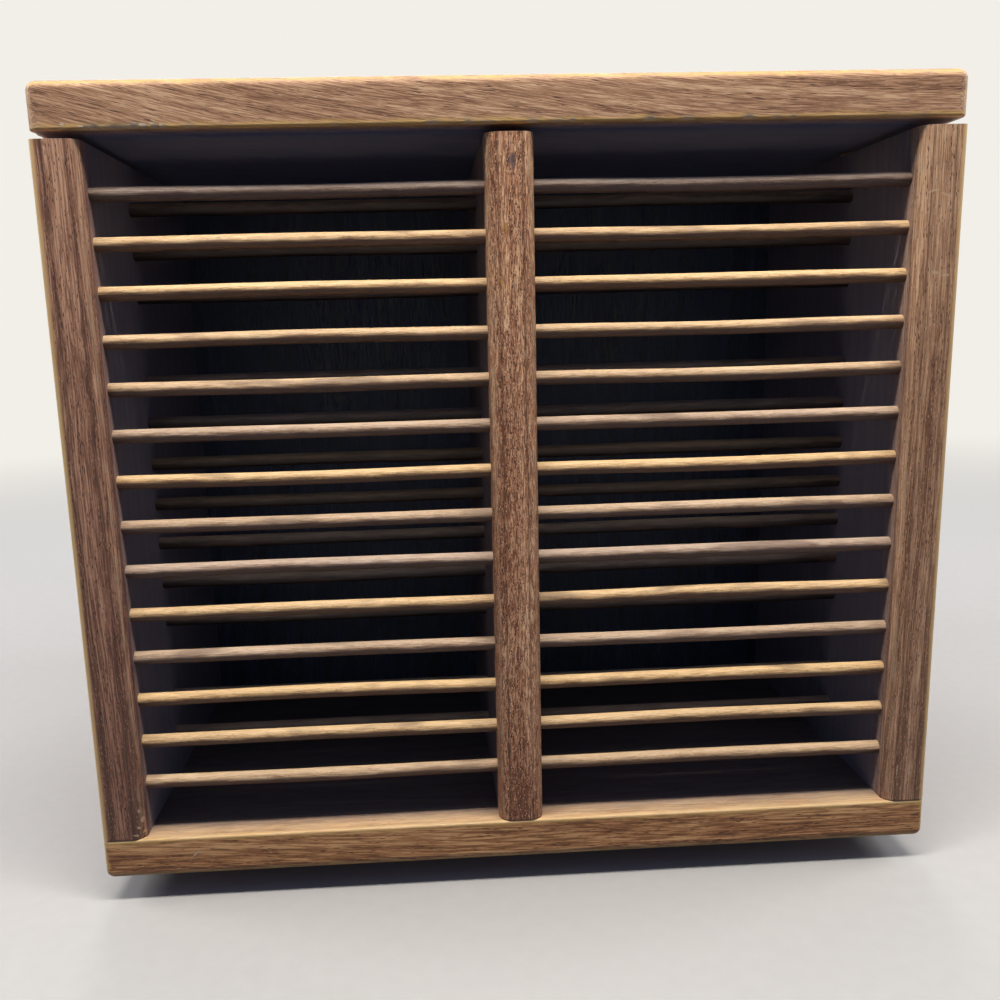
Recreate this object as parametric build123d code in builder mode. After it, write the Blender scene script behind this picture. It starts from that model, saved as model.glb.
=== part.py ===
from build123d import *
import math
import os

# A rotating rack for compact disc cases, open at the front and at the back.
# Millimetres. +Z is up, the front faces -Y, the turning axis is the Z axis, and z = 0 is the table.

# Case: the slots set the inner sizes, the stock sets the outer ones.
COLUMN_W = 128.0
BAY_DEPTH = 147.0
TIERS = 14
TIER_PITCH = 15.75
END_SLOT = 18.5
SIDE_T = 15.5
DIVIDER_T = 16.0
TOP_T = 15.0
BOTTOM_T = 15.0
CORE_T = 9.0
SHADOW_GAP = 2.5

# Rods: an outer row near the opening and an inner row behind it, in each bay.
ROD_D = 4.8
ROD_SEAT = 8.0
OUTER_ROW = 8.5
ROW_SPACING = 47.0

# Rounded edges of the boards and the uprights.
TOP_EDGE_R = 3.0
TOP_UNDER_R = 0.8
TOP_CORNER_R = 4.5
BOTTOM_EDGE_R = 3.0
BOTTOM_UPPER_R = 0.8
BOTTOM_CORNER_R = 2.2
UPRIGHT_OUTER_R = 2.2
UPRIGHT_INNER_R = 4.5

# Grooves, pins and screws.
GROOVE_DEPTH = 5.0
GLUE_GAP = 0.05
END_GAP = 0.3
PIN_D = 8.0
PIN_IN_TOP = 9.0
PIN_IN_UPRIGHT = 16.0
PIN_FROM_ROW = 20.0
SCREW_D = 4.0
SCREW_L = 38.0
SCREW_HEAD_D = 8.0
SCREW_HEAD_H = 2.6
RECESS_W = 0.9
RECESS_L = 4.0
RECESS_DEPTH = 1.4

# Swivel: two steel plates, a ring of balls in a cage and a hollow rivet as the pivot.
PLATE_SIDE = 150.0
PLATE_CORNER_R = 6.0
PLATE_T = 1.5
PLATE_HOLE_INSET = 11.0
SCREW_CLEARANCE = 0.3
BALL_D = 5.5
BALL_COUNT = 24
BALL_CIRCLE_R = 50.0
RACE_DEPTH = 0.45
RACE_CLEARANCE = 0.2
CAGE_RIM = 5.5
CAGE_GAP = 0.4
DISH_R = 18.0
DISH_FLOOR_R = 13.0
DISH_DEPTH = 1.5
RIVET_D = 10.0
RIVET_WALL = 1.3
RIVET_FLANGE_R = 8.5
RIVET_FLANGE_T = 0.9
RIVET_RUNNING_GAP = 0.08
WASHER_GAP = 0.2
WASHER_R = 9.5
PAN_HEAD_D = 8.0
PAN_HEAD_H = 2.2
PAN_SCREW_L = 11.0
FOOT_D = 16.0
FOOT_H = 1.5
FOOT_EDGE_R = 0.4

# Worked out from the sizes above.
INNER_H = 2 * END_SLOT + (TIERS - 1) * TIER_PITCH
INNER_W = 2 * COLUMN_W + DIVIDER_T
WIDTH = INNER_W + 2 * SIDE_T
DEPTH = 2 * BAY_DEPTH + CORE_T
UPRIGHT_H = INNER_H - SHADOW_GAP

PLATE_HOLE = PLATE_SIDE - 2 * PLATE_HOLE_INSET
PLATE_SPACE = BALL_D + 2 * RACE_CLEARANCE - 2 * RACE_DEPTH
DISH_SPACE = PLATE_SPACE - 2 * DISH_DEPTH
CAGE_T = DISH_SPACE - 2 * CAGE_GAP
Z_PLATE_LOW = FOOT_H
Z_PLATE_LOW_TOP = Z_PLATE_LOW + PLATE_T
Z_PLATE_HIGH = Z_PLATE_LOW_TOP + PLATE_SPACE
Z_BOTTOM = Z_PLATE_HIGH + PLATE_T
Z_FLOOR = Z_BOTTOM + BOTTOM_T
Z_CEILING = Z_FLOOR + INNER_H
Z_UPRIGHT_TOP = Z_FLOOR + UPRIGHT_H
Z_TOP = Z_CEILING + TOP_T
Z_BALL = Z_PLATE_LOW_TOP + PLATE_SPACE / 2

SIDE_X = (INNER_W + SIDE_T) / 2
INNER_FACE_X = INNER_W / 2
DIVIDER_DEPTH = BAY_DEPTH
DIVIDER_Y = CORE_T / 2 + DIVIDER_DEPTH / 2
OUTER_Y = DEPTH / 2 - OUTER_ROW
INNER_Y = OUTER_Y - ROW_SPACING
PIN_Y = INNER_Y - PIN_FROM_ROW
SCREW_Y = (OUTER_Y + INNER_Y) / 2
ROD_LENGTH = INNER_W + 2 * (ROD_SEAT - END_GAP)
UPRIGHT_SPOTS = [(x, y) for x in (-SIDE_X, 0, SIDE_X) for y in (-1, 1)]


def tier_z(tier):
    """Height of a rod's axis, with tier 1 the lowest."""
    return Z_FLOOR + END_SLOT + (tier - 1) * TIER_PITCH


def rod_places(rows):
    """Points (y, z) of every rod axis in the given rows."""
    return [(y, tier_z(tier)) for y in rows for tier in range(1, TIERS + 1)]


def at_uprights(y_offset):
    """Points (x, y) over the side panels and the dividers, at the same distance from the middle."""
    return [(x, side * y_offset) for x, side in UPRIGHT_SPOTS]


def save(part, label):
    """Name a finished piece and write it to its own file."""
    part.label = label
    export_step(part, f"parts/{label}.step")


os.makedirs("parts", exist_ok=True)

# Top board: rounded above, nearly sharp below, with blind holes for the pins.
with BuildPart() as top_board:
    with BuildSketch(Plane.XY.offset(Z_CEILING)):
        RectangleRounded(WIDTH, DEPTH, TOP_CORNER_R)
    extrude(amount=TOP_T)
    fillet(top_board.faces().sort_by(Axis.Z)[-1].edges(), TOP_EDGE_R)
    fillet(top_board.faces().sort_by(Axis.Z)[0].edges(), TOP_UNDER_R)
    with BuildSketch(Plane.XY.offset(Z_CEILING)):
        with Locations(*at_uprights(PIN_Y)):
            Circle(PIN_D / 2 + GLUE_GAP)
    extrude(amount=PIN_IN_TOP + END_GAP, mode=Mode.SUBTRACT)
save(top_board.part, "top_board")

# Bottom board: rounded below, with countersunk holes for the case screws and pilots for the plate screws.
with BuildPart() as bottom_board:
    with BuildSketch(Plane.XY.offset(Z_BOTTOM)):
        RectangleRounded(WIDTH, DEPTH, BOTTOM_CORNER_R)
    extrude(amount=BOTTOM_T)
    fillet(bottom_board.faces().sort_by(Axis.Z)[0].edges(), BOTTOM_EDGE_R)
    fillet(bottom_board.faces().sort_by(Axis.Z)[-1].edges(), BOTTOM_UPPER_R)
    with BuildSketch(Plane.XY.offset(Z_BOTTOM)):
        with Locations(*at_uprights(SCREW_Y)):
            Circle(SCREW_D / 2 + GLUE_GAP)
    extrude(amount=BOTTOM_T, mode=Mode.SUBTRACT)
    with Locations(*[(x, y, Z_BOTTOM + SCREW_HEAD_H / 2) for x, y in at_uprights(SCREW_Y)]):
        Cone(
            SCREW_HEAD_D / 2 + GLUE_GAP,
            SCREW_D / 2 + GLUE_GAP,
            SCREW_HEAD_H,
            mode=Mode.SUBTRACT,
        )
    with BuildSketch(Plane.XY.offset(Z_BOTTOM)):
        with GridLocations(PLATE_HOLE, PLATE_HOLE, 2, 2):
            Circle(SCREW_D / 2 + GLUE_GAP)
    extrude(amount=PAN_SCREW_L + END_GAP, mode=Mode.SUBTRACT)
save(bottom_board.part, "bottom_board")


def upright_profile(thickness, depth, front_radii, back_radii):
    """Outline of an upright in plan, centred, with its own radius at each corner.

    Radii are given as (left, right), seen from above with the front at the bottom of the plan.
    """
    half_t, half_d = thickness / 2, depth / 2
    with BuildSketch(mode=Mode.PRIVATE) as plan:
        Rectangle(thickness, depth)
        for side, radii in ((-1, front_radii), (1, back_radii)):
            for x, radius in ((-half_t, radii[0]), (half_t, radii[1])):
                if radius > 0:
                    corner = plan.vertices().sort_by_distance((x, side * half_d))[0]
                    fillet(corner, radius)
    return plan.sketch


# Side panels: full depth, blind holes for all the rods and a groove for the core panel.
def side_panel(side):
    """One side panel, side -1 for the left one and 1 for the right one."""
    left_r, right_r = UPRIGHT_OUTER_R, UPRIGHT_INNER_R
    if side > 0:
        left_r, right_r = right_r, left_r
    plan = upright_profile(SIDE_T, DEPTH, (left_r, right_r), (left_r, right_r))
    centre_x = side * SIDE_X
    inner_x = side * INNER_FACE_X
    inner_plane = Plane(origin=(inner_x, 0, 0), x_dir=(0, 1, 0), z_dir=(1, 0, 0))
    with BuildPart() as panel:
        with BuildSketch(Plane.XY.offset(Z_FLOOR)):
            with Locations((centre_x, 0)):
                add(plan)
        extrude(amount=UPRIGHT_H)
        with BuildSketch(inner_plane):
            with Locations(*rod_places((-OUTER_Y, -INNER_Y, INNER_Y, OUTER_Y))):
                Circle(ROD_D / 2 + GLUE_GAP)
        extrude(amount=side * ROD_SEAT, mode=Mode.SUBTRACT)
        with BuildSketch(Plane.XY.offset(Z_FLOOR)):
            with Locations((inner_x + side * GROOVE_DEPTH / 2, 0)):
                Rectangle(GROOVE_DEPTH, CORE_T + 2 * GLUE_GAP)
        extrude(amount=UPRIGHT_H, mode=Mode.SUBTRACT)
        with BuildSketch(Plane.XY.offset(Z_UPRIGHT_TOP)):
            with Locations((centre_x, -PIN_Y), (centre_x, PIN_Y)):
                Circle(PIN_D / 2 + GLUE_GAP)
        extrude(amount=-(PIN_IN_UPRIGHT + END_GAP), mode=Mode.SUBTRACT)
        with BuildSketch(Plane.XY.offset(Z_FLOOR)):
            with Locations((centre_x, -SCREW_Y), (centre_x, SCREW_Y)):
                Circle(SCREW_D / 2 + GLUE_GAP)
        extrude(amount=SCREW_L - BOTTOM_T + END_GAP, mode=Mode.SUBTRACT)
    return panel.part


save(side_panel(-1), "left_side_panel")
save(side_panel(1), "right_side_panel")


# Dividers: an upright in the middle of each bay, drilled through for the rods.
def divider(side):
    """One divider, side -1 for the front bay and 1 for the back bay."""
    round_pair, square_pair = (UPRIGHT_INNER_R, UPRIGHT_INNER_R), (0, 0)
    if side < 0:
        plan = upright_profile(DIVIDER_T, DIVIDER_DEPTH, round_pair, square_pair)
    else:
        plan = upright_profile(DIVIDER_T, DIVIDER_DEPTH, square_pair, round_pair)
    with BuildPart() as upright:
        with BuildSketch(Plane.XY.offset(Z_FLOOR)):
            with Locations((0, side * DIVIDER_Y)):
                add(plan)
        extrude(amount=UPRIGHT_H)
        with BuildSketch(Plane(origin=(0, 0, 0), x_dir=(0, 1, 0), z_dir=(1, 0, 0))):
            with Locations(*rod_places((side * OUTER_Y, side * INNER_Y))):
                Circle(ROD_D / 2 + GLUE_GAP)
        extrude(amount=DIVIDER_T / 2, both=True, mode=Mode.SUBTRACT)
        with BuildSketch(Plane.XY.offset(Z_UPRIGHT_TOP)):
            with Locations((0, side * PIN_Y)):
                Circle(PIN_D / 2 + GLUE_GAP)
        extrude(amount=-(PIN_IN_UPRIGHT + END_GAP), mode=Mode.SUBTRACT)
        with BuildSketch(Plane.XY.offset(Z_FLOOR)):
            with Locations((0, side * SCREW_Y)):
                Circle(SCREW_D / 2 + GLUE_GAP)
        extrude(amount=SCREW_L - BOTTOM_T + END_GAP, mode=Mode.SUBTRACT)
    return upright.part


save(divider(-1), "front_divider")
save(divider(1), "back_divider")

# Core panel: stands in the two grooves from board to board, so it carries the top board.
with BuildPart() as core_panel:
    with BuildSketch(Plane.XY.offset(Z_FLOOR)):
        Rectangle(INNER_W + 2 * (GROOVE_DEPTH - END_GAP), CORE_T)
    extrude(amount=INNER_H)
save(core_panel.part, "core_panel")


def rods(places):
    """Rods that lie along X, one at each (y, z) point."""
    with BuildPart() as row:
        with BuildSketch(Plane(origin=(0, 0, 0), x_dir=(0, 1, 0), z_dir=(1, 0, 0))):
            with Locations(*places):
                Circle(ROD_D / 2)
        extrude(amount=ROD_LENGTH / 2, both=True)
    return row.part


# Outer rows: every rod is a piece of its own. Inner rows: two neighbouring tiers make a pair.
for bay, side in (("front", -1), ("back", 1)):
    for tier in range(1, TIERS + 1):
        save(rods([(side * OUTER_Y, tier_z(tier))]), f"{bay}_rod_{tier:02d}")
    for first in range(1, TIERS + 1, 2):
        last = min(first + 1, TIERS)
        places = [(side * INNER_Y, tier_z(tier)) for tier in range(first, last + 1)]
        save(rods(places), f"{bay}_inner_rods_{(first + 1) // 2:02d}")

# Joint pins: they cross the shadow gap between the uprights and the top board.
with BuildPart() as joint_pins:
    with BuildSketch(Plane.XY.offset(Z_UPRIGHT_TOP - PIN_IN_UPRIGHT)):
        with Locations(*at_uprights(PIN_Y)):
            Circle(PIN_D / 2)
    extrude(amount=PIN_IN_UPRIGHT + SHADOW_GAP + PIN_IN_TOP)
save(joint_pins.part, "joint_pins")

# Case screws: countersunk, up through the bottom board into each upright.
with BuildPart() as case_screws:
    with BuildSketch(Plane.XY.offset(Z_BOTTOM)):
        with Locations(*at_uprights(SCREW_Y)):
            Circle(SCREW_D / 2)
    extrude(amount=SCREW_L)
    with Locations(*[(x, y, Z_BOTTOM + SCREW_HEAD_H / 2) for x, y in at_uprights(SCREW_Y)]):
        Cone(SCREW_HEAD_D / 2, SCREW_D / 2, SCREW_HEAD_H)
    with BuildSketch(Plane.XY.offset(Z_BOTTOM)):
        with Locations(*at_uprights(SCREW_Y)):
            Rectangle(RECESS_L, RECESS_W)
            Rectangle(RECESS_W, RECESS_L)
    extrude(amount=RECESS_DEPTH, mode=Mode.SUBTRACT)
save(case_screws.part, "case_screws")


# Swivel plates: a square sheet with a ball groove and a dished centre that takes the rivet's flange.
def swivel_plate(z_inner, away, rivet_gap):
    """One plate of the swivel.

    z_inner is the height of the face towards the balls and away points from the balls to the
    outer face: 1 for the upper plate, -1 for the lower one.
    """
    z_outer = z_inner + away * PLATE_T
    dish_inner = z_inner - away * DISH_DEPTH
    dish_outer = z_outer - away * DISH_DEPTH
    hole_r = RIVET_D / 2 + rivet_gap
    with BuildPart() as plate:
        with BuildSketch(Plane.XY.offset(z_inner)):
            RectangleRounded(PLATE_SIDE, PLATE_SIDE, PLATE_CORNER_R)
            Circle(DISH_R, mode=Mode.SUBTRACT)
        extrude(amount=away * PLATE_T)
        with BuildSketch(Plane.XZ):
            with BuildLine():
                Polyline(
                    (DISH_R, z_inner),
                    (DISH_R, z_outer),
                    (DISH_FLOOR_R, dish_outer),
                    (hole_r, dish_outer),
                    (hole_r, dish_inner),
                    (DISH_FLOOR_R, dish_inner),
                    close=True,
                )
            make_face()
        revolve(axis=Axis.Z)
        with BuildSketch(Plane.XZ):
            with Locations((BALL_CIRCLE_R, Z_BALL)):
                Circle(BALL_D / 2 + RACE_CLEARANCE)
        revolve(axis=Axis.Z, mode=Mode.SUBTRACT)
    return plate.part


save(swivel_plate(Z_PLATE_LOW_TOP, -1, GLUE_GAP), "swivel_lower_plate")

with BuildPart() as swivel_upper_plate:
    add(swivel_plate(Z_PLATE_HIGH, 1, RIVET_RUNNING_GAP))
    with BuildSketch(Plane.XY.offset(Z_PLATE_HIGH)):
        with GridLocations(PLATE_HOLE, PLATE_HOLE, 2, 2):
            Circle(SCREW_D / 2 + SCREW_CLEARANCE)
    extrude(amount=PLATE_T, mode=Mode.SUBTRACT)
save(swivel_upper_plate.part, "swivel_upper_plate")

# Balls and their cage, a flat disc round the washer: they go round at half the speed of the case.
with BuildPart() as swivel_balls:
    with Locations((0, 0, Z_BALL)):
        with PolarLocations(BALL_CIRCLE_R, BALL_COUNT):
            Sphere(BALL_D / 2)
save(swivel_balls.part, "swivel_balls")

with BuildPart() as ball_cage:
    with BuildSketch(Plane.XY.offset(Z_BALL - CAGE_T / 2)):
        Circle(BALL_CIRCLE_R + CAGE_RIM)
        Circle(WASHER_R + CAGE_GAP, mode=Mode.SUBTRACT)
        with PolarLocations(BALL_CIRCLE_R, BALL_COUNT):
            Circle(BALL_D / 2 + RACE_CLEARANCE, mode=Mode.SUBTRACT)
    extrude(amount=CAGE_T)
save(ball_cage.part, "ball_cage")

# Rivet: a tube with a flange under the lower dish and one over the upper dish.
Z_FLANGE_LOW = Z_PLATE_LOW + DISH_DEPTH - RIVET_FLANGE_T
Z_FLANGE_HIGH = Z_PLATE_HIGH + PLATE_T - DISH_DEPTH + WASHER_GAP
RIVET_R = RIVET_D / 2
RIVET_TOP = Z_FLANGE_HIGH + RIVET_FLANGE_T
with BuildPart() as swivel_rivet:
    with BuildSketch(Plane.XZ):
        with BuildLine():
            Polyline(
                (RIVET_R - RIVET_WALL, Z_FLANGE_LOW),
                (RIVET_FLANGE_R, Z_FLANGE_LOW),
                (RIVET_FLANGE_R, Z_FLANGE_LOW + RIVET_FLANGE_T),
                (RIVET_R, Z_FLANGE_LOW + RIVET_FLANGE_T),
                (RIVET_R, Z_FLANGE_HIGH),
                (RIVET_FLANGE_R, Z_FLANGE_HIGH),
                (RIVET_FLANGE_R, RIVET_TOP),
                (RIVET_R - RIVET_WALL, RIVET_TOP),
                close=True,
            )
        make_face()
    revolve(axis=Axis.Z)
save(swivel_rivet.part, "swivel_rivet")

# Washer: fills the space between the two dishes, with a little play.
Z_WASHER = Z_PLATE_LOW_TOP + DISH_DEPTH
with BuildPart() as swivel_washer:
    with BuildSketch(Plane.XY.offset(Z_WASHER)):
        Circle(WASHER_R)
        Circle(RIVET_R + RIVET_RUNNING_GAP, mode=Mode.SUBTRACT)
    extrude(amount=DISH_SPACE - WASHER_GAP)
save(swivel_washer.part, "swivel_washer")

# Plate screws: pan heads against the upper plate, shanks in the bottom board.
with BuildPart() as plate_screws:
    with BuildSketch(Plane.XY.offset(Z_PLATE_HIGH)):
        with GridLocations(PLATE_HOLE, PLATE_HOLE, 2, 2):
            Circle(SCREW_D / 2)
    extrude(amount=PLATE_T + PAN_SCREW_L)
    with BuildSketch(Plane.XY.offset(Z_PLATE_HIGH - PAN_HEAD_H)):
        with GridLocations(PLATE_HOLE, PLATE_HOLE, 2, 2):
            Circle(PAN_HEAD_D / 2)
    extrude(amount=PAN_HEAD_H)
    fillet(plate_screws.faces().group_by(Axis.Z)[0].edges(), PAN_HEAD_H / 2)
    with BuildSketch(Plane.XY.offset(Z_PLATE_HIGH - PAN_HEAD_H)):
        with GridLocations(PLATE_HOLE, PLATE_HOLE, 2, 2):
            Rectangle(RECESS_L, RECESS_W)
            Rectangle(RECESS_W, RECESS_L)
    extrude(amount=RECESS_DEPTH, mode=Mode.SUBTRACT)
save(plate_screws.part, "plate_screws")

# Feet: thin rubber pads under the corners of the lower plate.
with BuildPart() as rubber_feet:
    with BuildSketch():
        with GridLocations(PLATE_HOLE, PLATE_HOLE, 2, 2):
            Circle(FOOT_D / 2)
    extrude(amount=FOOT_H)
    fillet(rubber_feet.faces().group_by(Axis.Z)[0].edges(), FOOT_EDGE_R)
save(rubber_feet.part, "rubber_feet")

print(f"case {WIDTH} x {DEPTH} x {Z_TOP - Z_BOTTOM:.2f} mm, whole rack {Z_TOP:.2f} mm high")
print(f"slot {COLUMN_W} x {BAY_DEPTH} x {TIER_PITCH - ROD_D:.2f} mm")
ball_gap = 2 * BALL_CIRCLE_R * math.sin(math.pi / BALL_COUNT) - BALL_D
print(f"space between balls {ball_gap:.2f} mm")
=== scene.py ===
# %% [markdown]
# # A rotating rack for disc cases
#
# The rack is a wooden case on a low steel swivel. Two square boards hold two side panels and two
# dividers between them, and 56 thin rods cross the bays and carry the cases.
#
# The measured model comes first and never changes. Everything that this lesson adds rides on it:
# rods that are a little uneven, a top board with knocked edges, and a material for every piece.

import math

import bmesh
import bpy
import numpy as np
from mathutils import Matrix, Vector


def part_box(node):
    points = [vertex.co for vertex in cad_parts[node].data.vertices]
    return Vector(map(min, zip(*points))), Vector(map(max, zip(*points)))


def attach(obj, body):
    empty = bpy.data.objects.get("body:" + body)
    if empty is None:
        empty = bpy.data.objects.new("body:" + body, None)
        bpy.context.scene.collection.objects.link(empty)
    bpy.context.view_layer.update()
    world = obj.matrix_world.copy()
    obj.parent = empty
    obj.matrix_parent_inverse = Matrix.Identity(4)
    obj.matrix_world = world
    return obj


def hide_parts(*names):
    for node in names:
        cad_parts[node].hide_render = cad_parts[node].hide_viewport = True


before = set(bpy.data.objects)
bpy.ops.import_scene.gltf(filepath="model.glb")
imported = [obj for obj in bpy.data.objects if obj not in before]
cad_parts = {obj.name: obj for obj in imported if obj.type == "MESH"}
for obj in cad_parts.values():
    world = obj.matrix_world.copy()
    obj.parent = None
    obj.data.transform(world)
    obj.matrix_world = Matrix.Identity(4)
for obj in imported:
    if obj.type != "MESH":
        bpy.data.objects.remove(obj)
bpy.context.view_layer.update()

# %% [markdown]
# ## Sizes
#
# Blender works in metres, a joiner thinks in millimetres. One constant turns one into the other, and
# the places that matter are read from the frame, so nothing here can drift away from the model.

# %% Read the places that the pieces share
MM = 0.001

low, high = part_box("top_board")
HALF_CASE = high.x
TOP_UNDER, TOP_UPPER = low.z, high.z
FLOOR_BOARD_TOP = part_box("bottom_board")[1].z
FRONT_Y = low.y
INNER_WALL_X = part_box("core_panel")[1].x - 4.7 * MM
DIVIDER_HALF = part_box("front_divider")[1].x
print(f"case {2000 * HALF_CASE:.0f} mm wide, inner walls at {1000 * INNER_WALL_X:.1f} mm")

# %% [markdown]
# ## Camera
#
# The photograph was taken close to the rack, from slightly above its middle, tipped down by 11.5
# degrees and a little rolled. These values were solved from the edges of the boards and the rods,
# so the frame's edges fall where they do in the photograph. The small shift stands for a picture
# that was cropped off centre.

# %% Place the camera
FOCAL_PIXELS = 1011.4
IMAGE_PIXELS = 1000
SENSOR_MM = 36.0
CAMERA_PLACE = Vector((-31.97, -492.6, 204.13)) * MM
YAW, PITCH, ROLL = 0.053, -0.201, -0.026
CENTRE_OFF_X, CENTRE_OFF_Y = -23.3, 28.2


def camera_turn(yaw, pitch, roll):
    """Camera axes as a matrix: forward is turned by yaw about Z and by pitch about the level
    right-hand axis, then right and up turn about forward by roll."""
    ahead = Vector((math.sin(yaw), math.cos(yaw), 0))
    forward = math.cos(pitch) * ahead + Vector((0, 0, math.sin(pitch)))
    level = Vector((math.cos(yaw), -math.sin(yaw), 0))
    upright = level.cross(forward)
    right = math.cos(roll) * level + math.sin(roll) * upright
    up = math.cos(roll) * upright - math.sin(roll) * level
    return Matrix((right, up, -forward)).transposed()


lens = bpy.data.cameras.new("photo_camera")
lens.sensor_width = SENSOR_MM
lens.lens = FOCAL_PIXELS / IMAGE_PIXELS * SENSOR_MM
lens.shift_x = -CENTRE_OFF_X / IMAGE_PIXELS
lens.shift_y = CENTRE_OFF_Y / IMAGE_PIXELS
lens.clip_start = 0.01
camera = bpy.data.objects.new("photo_camera", lens)
camera.matrix_world = Matrix.Translation(CAMERA_PLACE) @ camera_turn(YAW, PITCH, ROLL).to_4x4()
bpy.context.scene.collection.objects.link(camera)
bpy.context.scene.camera = camera
print(f"lens {lens.lens:.1f} mm, camera {1000 * (FRONT_Y - CAMERA_PLACE.y):.0f} mm before the rack")

# %% [markdown]
# ## Surfaces from grids
#
# Every new piece is a grid of points: one direction runs round a section, the other along the
# piece. The rows of points come from numpy in one go, and the faces are the same index pattern
# moved along, so no loop ever touches a single vertex.

# %% A closed tube of quads from rings of points
rng = np.random.default_rng(4)


def tube_faces(rings, around, first=0):
    """Quads between neighbouring rings, closed round the section: corner i of ring j joins i + 1 of
    ring j, i + 1 of ring j + 1 and i of ring j + 1."""
    ring = np.arange(rings - 1)[:, None] * around
    here = np.arange(around)[None, :]
    following = (here + 1) % around
    quads = np.stack([ring + here, ring + following, ring + around + following, ring + around + here], -1)
    return quads.reshape(-1, 4) + first


def make_piece(name, points, faces, smooth=True):
    """A mesh object at the origin, from an (n, 3) array in metres and a list of face index rows."""
    mesh = bpy.data.meshes.new(name)
    mesh.from_pydata(points.tolist(), [], faces)
    mesh.shade_smooth() if smooth else mesh.shade_flat()
    mesh.validate()
    piece = bpy.data.objects.new(name, mesh)
    bpy.context.scene.collection.objects.link(piece)
    return piece


# %% [markdown]
# ## Top board
#
# The top board takes the knocks. Its upper edge is rounded over with a router and its lower edge is
# only broken with sandpaper, so that thin arris has chipped and dented over the years. A bevelled box
# would have perfect edges. Here the edge's section is carried round the board's outline instead, and
# the section steps back wherever a knock falls, deepest at the arris and nothing 2 mm away.

# %% Outline of the board and the places of the knocks
CORNER_RADIUS = 4.5 * MM
UPPER_RADIUS = 3.0 * MM
UNDER_RADIUS = 0.8 * MM
OUTLINE_STEP = 0.7 * MM
CORNER_POINTS = 17


def board_outline(half, corner, step):
    """Points, outward normals and way round a square with rounded corners, from the middle of its
    right side. The normal's angle stays on a side and turns evenly through a corner."""
    quarter = math.pi / 2
    angle = (quarter * np.arange(4)[:, None] + np.linspace(0, quarter, CORNER_POINTS)[None, :]).ravel()
    middle_x = np.repeat([1, -1, -1, 1], CORNER_POINTS) * (half - corner)
    middle_y = np.repeat([1, 1, -1, -1], CORNER_POINTS) * (half - corner)
    x, y = middle_x + corner * np.cos(angle), middle_y + corner * np.sin(angle)
    x, y, angle = np.append(x, x[0]), np.append(y, y[0]), np.append(angle, angle[0] + 2 * math.pi)
    way = np.concatenate([[0], np.cumsum(np.hypot(np.diff(x), np.diff(y)))])
    at = np.linspace(0, way[-1], round(way[-1] / step), endpoint=False)
    turned = np.interp(at, way, angle)
    normal = np.stack([np.cos(turned), np.sin(turned)], -1)
    return np.stack([np.interp(at, way, x), np.interp(at, way, y)], -1), normal, at


def knocks(at, length, count, depth, reach):
    """How far the arris is knocked back along the way round: the deepest of count dents at random
    places, each a parabola with a depth up to depth and a half width up to reach."""
    middle = rng.uniform(0, length, count)
    deep = depth * rng.uniform(0.15, 1, count) ** 2
    wide = reach * rng.uniform(0.25, 1, count)
    gap = np.abs(at[:, None] - middle)
    gap = np.minimum(gap, length - gap)
    return (deep * np.clip(1 - (gap / wide) ** 2, 0, 1)).max(1)


# %% Carry the section round the outline
# Chips in the front arris: place along x, depth and half width, in millimetres.
CHIPS = ((-133.2, 0.35, 1.0), (-130.6, 0.5, 1.6), (-127.9, 0.3, 0.8), (-124.4, 0.45, 2.4),
         (-121.2, 0.25, 0.7), (-118.3, 0.5, 1.9), (-115.0, 0.3, 1.0), (-111.8, 0.4, 1.2))
ARRIS_KNOCKS, ARRIS_DEPTH, ARRIS_WIDTH, ARRIS_REACH = 90, 0.5 * MM, 2.6 * MM, 1.7 * MM
RIM_KNOCKS, RIM_DEPTH, RIM_WIDTH, RIM_REACH = 40, 0.25 * MM, 3.5 * MM, 2.2 * MM
RIM_MIDDLE = 0.9 * MM
BARE_FROM = 0.16 * MM
FAN_INSET = 9 * MM


def board_section(under, upper, under_radius, upper_radius):
    """Section of the board's edge from the underside to the top, as (inset, height): flat, a quarter
    circle, the straight side, a larger quarter circle and flat again."""
    low_turn = np.linspace(-math.pi / 2, 0, 7)
    high_turn = np.linspace(0, math.pi / 2, 12)
    side = np.array([0.9, 1.5, 2.2, 3.2, 5.5, 8.5]) * MM
    inset = [[FAN_INSET, 2.6 * MM, 1.6 * MM], under_radius * (1 - np.cos(low_turn)), 0 * side,
             upper_radius * (1 - np.cos(high_turn)), [upper_radius + 0.4 * MM, FAN_INSET]]
    height = [[under] * 3, under + under_radius * (1 + np.sin(low_turn)), under + side,
              upper - upper_radius * (1 - np.sin(high_turn)), [upper] * 2]
    return np.concatenate(inset), np.concatenate(height)


outline, normal, at = board_outline(HALF_CASE, CORNER_RADIUS, OUTLINE_STEP)
length = at[-1] + OUTLINE_STEP
inset, height = board_section(TOP_UNDER, TOP_UPPER, UNDER_RADIUS, UPPER_RADIUS)
dent = knocks(at, length, ARRIS_KNOCKS, ARRIS_DEPTH, ARRIS_WIDTH)
on_front = outline[:, 1] < FRONT_Y + 0.1 * MM
for place, deep, wide in CHIPS:
    gap = np.abs(outline[:, 0] - place * MM) / (wide * MM)
    dent = np.maximum(dent, on_front * deep * MM * np.sqrt(np.clip(1 - gap, 0, 1)))
rim = knocks(at, length, RIM_KNOCKS, RIM_DEPTH, RIM_WIDTH)

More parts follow.
